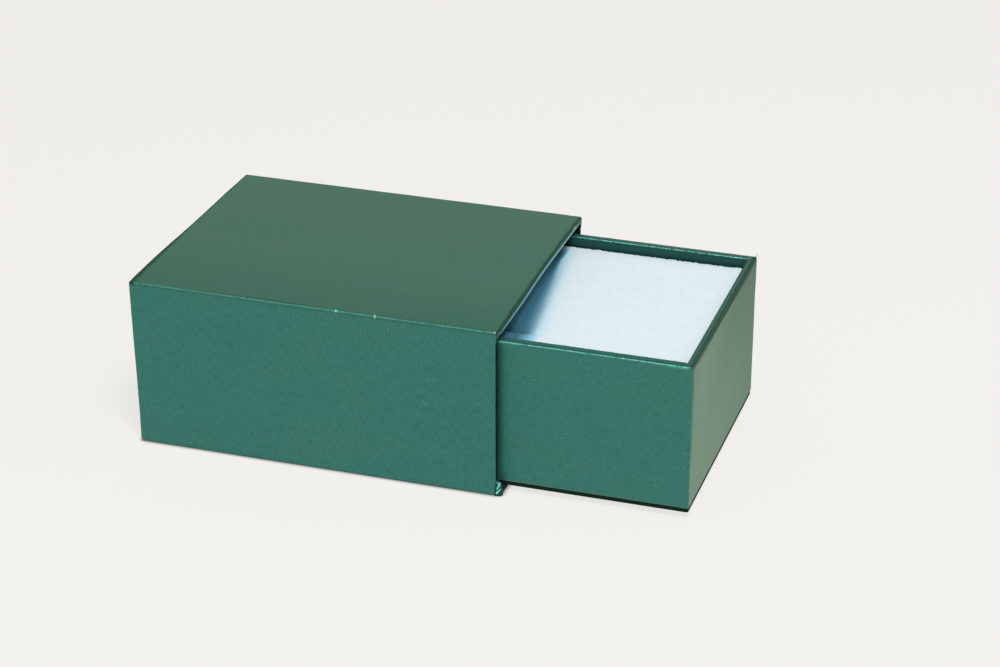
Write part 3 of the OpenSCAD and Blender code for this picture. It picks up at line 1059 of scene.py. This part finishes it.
def pad_start():
    """The flocked cover before it is stretched: its face with the dent, then its skirt."""
    half = (COVER_HIGH - COVER_LOW)[:2] / 2 - PAD_START
    mid = (COVER_HIGH + COVER_LOW)[:2] / 2
    top = COVER_HIGH[2] - PAD_START
    flat = half - PAD_EDGE
    xs, ys = (np.linspace(-flat[k], flat[k], PAD_ROWS[k]) + mid[k] for k in range(2))
    ys = np.sort(np.concatenate([ys[np.abs(ys - SLIT_Y) > 0.8], SLIT_Y + np.array(SLIT_ROWS)]))
    gx, gy = np.meshgrid(xs, ys, indexing="ij")
    gz = top - dent_drop(gx, gy)
    points = [np.stack([gx, gy, gz], axis=-1).reshape(-1, 3)]
    number = np.arange(gx.size).reshape(gx.shape)
    faces = []
    for i in range(len(xs) - 1):
        for j in range(len(ys) - 1):
            faces.append((number[i, j], number[i + 1, j], number[i + 1, j + 1], number[i, j + 1]))

    ring = np.concatenate([number[:-1, 0], number[-1, :-1], number[:0:-1, -1], number[0, :0:-1]])
    rim = points[0][ring]
    from_mid = rim[:, :2] - mid
    out = np.sign(from_mid) * (np.abs(np.abs(from_mid) - flat) < 1e-6)
    out /= np.linalg.norm(out, axis=1)[:, None]
    depth = top - COVER_LOW[2]
    path = [(PAD_EDGE * math.sin(turn), PAD_EDGE * (1 - math.cos(turn)))
            for turn in np.radians([30, 60, 90])]
    path += [(PAD_EDGE, down) for down in [*np.arange(PAD_EDGE + 1, depth, 1.0), depth]]
    last = ring
    count = gx.size
    for outward, down in path:
        row = rim.copy()
        row[:, :2] += out * outward
        row[:, 2] = top - down
        points.append(row)
        here = np.arange(count, count + len(ring))
        count += len(ring)
        faces += zip(last, here, np.roll(here, -1), np.roll(last, -1))
        last = here
    return np.concatenate(points), faces


def stretch(points, faces):
    """Cloth simulation: the cover is puffed up a little over the foam, held at its lower edge."""
    mesh = bpy.data.meshes.new("stretching")
    mesh.from_pydata((points * MM * SIM_SCALE).tolist(), [], [list(f) for f in faces])
    cloth = bpy.data.objects.new("stretching", mesh)
    scene.collection.objects.link(cloth)
    held = cloth.vertex_groups.new(name="held")
    low = np.nonzero(points[:, 2] < COVER_LOW[2] + 2.5)[0]
    held.add(low.tolist(), 1.0, "REPLACE")
    modifier = cloth.modifiers.new("cloth", "CLOTH")
    for key, value in CLOTH.items():
        setattr(modifier.settings, key, value)
    modifier.settings.effector_weights.gravity = 0
    modifier.point_cache.frame_start = 1
    modifier.point_cache.frame_end = SIM_FRAMES
    for number in range(1, SIM_FRAMES + 1):
        scene.frame_set(number)
    result = cloth.evaluated_get(bpy.context.evaluated_depsgraph_get())
    moved = np.zeros(len(points) * 3)
    result.data.vertices.foreach_get("co", moved)
    moved = moved.reshape(-1, 3) / (MM * SIM_SCALE)
    scene.frame_set(1)
    bpy.data.objects.remove(cloth)
    shift = moved - points
    size = np.linalg.norm(shift, axis=1)
    skirt_top = COVER_HIGH[2] - PAD_START - 2 * PAD_EDGE
    in_dent = smooth(dent_drop(points[:, 0], points[:, 1]), 0.05, 0.8)
    limit = np.where(points[:, 2] < skirt_top, SKIRT_PUFF_LIMIT, PUFF_LIMIT) * (1 - 0.8 * in_dent)
    return points + shift * np.minimum(1, limit / np.maximum(size, 1e-9))[:, None]


def build_pad():
    """The flocked cover: stretched, divided finer, roughened by its nap and given a thickness."""
    points, faces = pad_start()
    points = stretch(points, faces)
    rough = make_object("pad_rough", points, faces, "tray")
    divide = rough.modifiers.new("divide", "SUBSURF")
    divide.levels = divide.render_levels = 1
    graph = bpy.context.evaluated_depsgraph_get()
    mesh = bpy.data.meshes.new_from_object(rough.evaluated_get(graph))
    count = len(mesh.vertices)
    co, normal = np.zeros((2, count * 3))
    mesh.vertices.foreach_get("co", co)
    mesh.vertex_normals.foreach_get("vector", normal)
    co, normal = co.reshape(-1, 3) / MM, normal.reshape(-1, 3)
    quads = np.array([p.vertices[:] for p in mesh.polygons])
    bpy.data.objects.remove(rough)

    mid = (COVER_HIGH + COVER_LOW)[:2] / 2
    half = (COVER_HIGH - COVER_LOW)[:2] / 2
    to_side = (half - np.abs(co[:, :2] - mid)).min(axis=1)
    fuzz = np.exp(-((to_side - 0.3) / 0.5) ** 2)
    outer = co + normal * (pad_nap(co) * (0.012 + 0.09 * fuzz) + 0.01 * pad_tuft(co))[:, None]
    inner = co - normal * COVER_THICKNESS
    edges = np.concatenate([quads[:, [k, (k + 1) % 4]] for k in range(4)])
    seen = {tuple(e) for e in edges}
    border = [(a, b) for a, b in edges if (b, a) not in seen]
    all_faces = [tuple(q) for q in quads] + [tuple(q[::-1] + count) for q in quads]
    all_faces += [(b, a, a + count, b + count) for a, b in border]

    # painted shade on the nap, kept off its sides: across the dent, deepest near the slit, and beside
    # its rim
    x, y = co[:, 0], co[:, 1]
    shade = dent_shade(x, y) * (to_side > 0.6)
    deep = smooth(dent_drop(x, y) / DENT_DEPTH, 0.3, 0.75) * smooth(SLIT_Y - y, -11, -2)
    deep += STRIP_DEEP * smooth(shade, 0.6, 0.97) * (y <= SLIT_Y)
    marks = {"dent": shade, "deep": deep * (to_side > 0.6), "lip": lip_shade(x, y) * (to_side > 0.6)}
    pad = make_object("pad_flocked_cover", np.concatenate([outer, inner]), all_faces, "tray",
                      attributes={name: np.tile(mark, 2) for name, mark in marks.items()},
                      smooth_angle=60)
    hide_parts("pad_cover")
    return pad


# ---------------------------------------------------------------- stage, light and camera

FLOOR_HALF = 3.0
FLOOR_GLOW = 0.765
CONTACT_GLOW = 0.12
CONTACT_REACH = 1.2
ROOM_LIGHT = 0.54
KEY_WATTS = 13.0
KEY_SIZE = 0.32
KEY_DISTANCE = 1.2
KEY_WAY = (0.28, -0.42, 0.86)
KEY_AIM = (0.03, 0, 0.02)
CAMERA_AT = (0.20321, -0.53097, 0.29341)
CAMERA_DOWN = 25.854
CAMERA_TURN = 17.774
CAMERA_LENS = 97.74


def add_object(name, data):
    obj = bpy.data.objects.new(name, data)
    scene.collection.objects.link(obj)
    return obj


def build_stage():
    """A pale floor that glows a little, less where the box touches it as a painted contact shadow,
    and plain soft light.
    """
    mesh = bpy.data.meshes.new("floor")
    corners = [(x * FLOOR_HALF, y * FLOOR_HALF, 0) for x, y in ((-1, -1), (1, -1), (1, 1), (-1, 1))]
    mesh.from_pydata(corners, [], [(0, 1, 2, 3)])
    n = Nodes("pale_floor", roughness=0.9, base_color=(0.1, 0.1, 0.1, 1), specular_ior_level=0.0,
              emission_color=(1, 0.977, 0.94, 1))
    reach = {"Distance": CONTACT_REACH * MM}
    # painted contact shadow: the floor's glow falls where the box is near
    contact = n.add("ShaderNodeAmbientOcclusion", reach, samples=8).outputs["AO"]
    n.put(n.shader, "Emission Strength", n.range(contact, 0.35, 0.95, CONTACT_GLOW, FLOOR_GLOW))
    mesh.materials.append(n.material)
    floor = add_object("floor", mesh)

    world = bpy.data.worlds.new("studio")
    world.use_nodes = True
    background = world.node_tree.nodes["Background"]
    background.inputs["Color"].default_value = (1.0, 0.985, 0.96, 1)
    background.inputs["Strength"].default_value = ROOM_LIGHT
    scene.world = world

    key = bpy.data.lights.new("key", "AREA")
    key.shape = "DISK"
    key.size = KEY_SIZE
    key.energy = KEY_WATTS
    lamp = add_object("key", key)
    toward = Vector(KEY_WAY).normalized()
    lamp.location = Vector(KEY_AIM) + toward * KEY_DISTANCE
    lamp.rotation_euler = toward.to_track_quat("Z", "Y").to_euler()


def build_camera():
    camera = bpy.data.cameras.new("camera")
    camera.lens = CAMERA_LENS
    camera.sensor_width = 36
    camera.clip_start = 0.01
    eye = add_object("camera", camera)
    eye.location = CAMERA_AT
    eye.rotation_euler = (math.radians(90 - CAMERA_DOWN), 0, math.radians(CAMERA_TURN))
    bpy.context.scene.camera = eye


# ---------------------------------------------------------------- the whole box

def dress(obj, *materials):
    """Gives a piece its materials, in place of those it has."""
    held = obj.data.materials
    for place, material in enumerate(materials):
        if place == len(held):
            held.append(material)
        held[place] = material


scene.view_settings.view_transform = "Standard"

wrap, strip, lining = build_sleeve_papers()
roof_board, *roof_tapes = build_roof_core()
tray = build_tray_papers()
build_stage()
build_camera()
pad = build_pad()

sleeve_pearl = sleeve_paper()
folded_in_shaded = shaded_folded_in_paper()
board = greyboard()
tape = kraft_tape()
dress(wrap, sleeve_pearl, folded_in_shaded, roof_end_paper())
dress(strip, sleeve_pearl, folded_in_shaded)
dress(build_bunched_corner(), crumpled_paper())
dress(build_burr(), folded_in_shaded)
dress(lining, plain_paper())
dress(tray, tray_paper())
dress(pad, flock())
dress(roof_board, board)
for roof_tape in roof_tapes:
    dress(roof_tape, tape)

# the CAD solids that still show, by a word in their names
carried_over = (
    ("board", board, "greyboard"),
    ("tape", tape, "kraft_tape"),
    ("riser", white_card(), "white_card"),
    ("foam", foam(), "white_foam"),
    # the base card gets the dark painted-shade paper of the folded-in ends
    ("base_card", folded_in_shaded, "plain_green_paper"),
)
for node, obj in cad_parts.items():
    if obj.hide_render:
        continue
    for word, material, slot_name in carried_over:
        if word in node:
            dress(obj, material)
